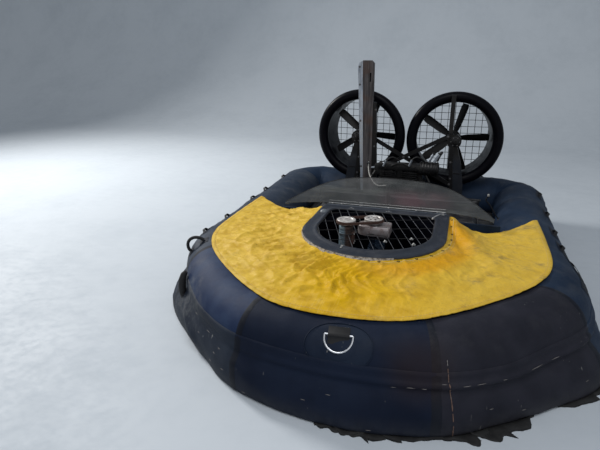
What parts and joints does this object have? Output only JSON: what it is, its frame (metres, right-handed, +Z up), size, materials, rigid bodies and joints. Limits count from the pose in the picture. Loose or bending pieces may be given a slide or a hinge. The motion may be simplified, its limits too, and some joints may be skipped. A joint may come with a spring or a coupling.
{
  "type": "folding inflatable hovercraft",
  "caption": "Small inflatable hovercraft with a fabric bow deck round a lift fan, an open cockpit, ducted stern fans with rudders, and a hanging skirt.",
  "frame": {"origin": "centre of the bounding box's underside, on the floor that the skirt stands on", "axes": "+Z up, +Y towards the stern, +X to port, so the bow points along -Y"},
  "size_m": [2.08, 2.8203, 1.212],
  "materials": {
    "hull_navy": "coated fabric, matt, scuffed",
    "hull_charcoal": "coated fabric, matt, scuffed",
    "skirt": "coated skirt fabric, dusty, frayed hem",
    "deck_yellow": "coated fabric, faded and grubby",
    "collar": "stiff coated fabric, satin",
    "black_moulding": "black moulding, satin",
    "black_steel": "black paint, chipped",
    "guard_wire": "plated wire, dull",
    "aluminium": "weathered",
    "cast_alloy": "cast, oxidised",
    "rust_belt": "perished rubber and rust",
    "smoky_screen": "smoky plastic sheet, scratched",
    "cable_sheath": "pale plastic sheath",
    "timber": "weathered board",
    "seat_cloth": "black vinyl",
    "floor_board": "painted board",
    "steel_bright": "polished steel"
  },
  "bodies": {
    "hull": {"tube_bow": "hull_navy", "tube_corner_port": "hull_charcoal", "tube_side_port": "hull_charcoal", "tube_stern": "hull_charcoal", "tube_side_starboard": "hull_navy", "tube_corner_starboard": "hull_navy", "floor_panel": "floor_board", "bow_deck": "deck_yellow", "fan_collar": "collar", "lift_duct": "black_moulding", "lift_guard": "guard_wire", "lift_motor": "aluminium", "lift_bearing_housing": "cast_alloy", "drive_belt": "rust_belt", "windscreen": "smoky_screen", "windscreen_rail": "aluminium", "cockpit_bulkhead": "floor_board", "seat_cushion": "seat_cloth", "seat_back": "seat_cloth", "stick_socket": "black_steel", "throttle_cable": "cable_sheath", "thrust_duct_port": "black_moulding", "thrust_duct_starboard": "black_moulding", "fan_guard_port": "black_steel", "fan_guard_starboard": "black_steel", "fan_pylon_port": "black_steel", "fan_pylon_starboard": "black_steel", "duct_saddle_port": "black_moulding", "duct_saddle_starboard": "black_moulding", "duct_brace_rising_port": "black_steel", "duct_brace_rising_starboard": "black_steel", "thrust_engine": "cast_alloy", "post_timber": "timber", "post_strip": "aluminium", "post_channel": "black_steel", "tow_patch": "hull_navy", "tow_ring": "steel_bright", "skirt_bow": "skirt", "skirt_corner_port": "skirt", "skirt_side_port": "skirt", "skirt_stern": "skirt", "skirt_side_starboard": "skirt", "skirt_corner_starboard": "skirt"},
    "lift_rotor": {"lift_fan": "black_moulding", "lift_pulley": "cast_alloy"},
    "drive_rotor": {"drive_pulley": "cast_alloy"},
    "fan_port": {"thrust_fan_port": "black_moulding"},
    "fan_starboard": {"thrust_fan_starboard": "black_moulding"},
    "stick": {"control_stick": "black_steel"},
    "rudder_port": {"rudder_port": "black_moulding"},
    "rudder_starboard": {"rudder_starboard": "black_moulding"}
  },
  "joints": [
    {"name": "lift_fan_spin", "type": "hinge", "parent": "hull", "child": "lift_rotor", "pos_m": [0, -0.37, 0.3], "axis": [0, 0, 1], "continuous": true},
    {"name": "drive_pulley_spin", "type": "hinge", "parent": "hull", "child": "drive_rotor", "pos_m": [-0.13, -0.432, 0.45], "axis": [0, 0, 1], "continuous": true},
    {"name": "fan_port_spin", "type": "hinge", "parent": "hull", "child": "fan_port", "pos_m": [0.33146, 1.08434, 0.667], "axis": [-0.1045, 0.9945, 0], "continuous": true},
    {"name": "fan_starboard_spin", "type": "hinge", "parent": "hull", "child": "fan_starboard", "pos_m": [-0.33146, 1.08434, 0.667], "axis": [0.1045, 0.9945, 0], "continuous": true},
    {"name": "stick_tilt", "type": "hinge", "parent": "hull", "child": "stick", "pos_m": [-0.02, 0.3, 0.16], "axis": [0, 1, 0], "range_deg": [-20, 20]},
    {"name": "rudder_port_turn", "type": "hinge", "parent": "hull", "child": "rudder_port", "pos_m": [0.31295, 1.26037, 0.667], "axis": [0, 0, 1], "range_deg": [-30, 30]},
    {"name": "rudder_starboard_turn", "type": "hinge", "parent": "hull", "child": "rudder_starboard", "pos_m": [-0.31295, 1.26037, 0.667], "axis": [0, 0, 1], "range_deg": [-30, 30]}
  ],
  "couplings": [
    {"joint": "drive_pulley_spin", "follows": "lift_fan_spin", "ratio": 1},
    {"joint": "rudder_port_turn", "follows": "stick_tilt", "ratio": -1.49},
    {"joint": "rudder_starboard_turn", "follows": "stick_tilt", "ratio": -1.49}
  ]
}
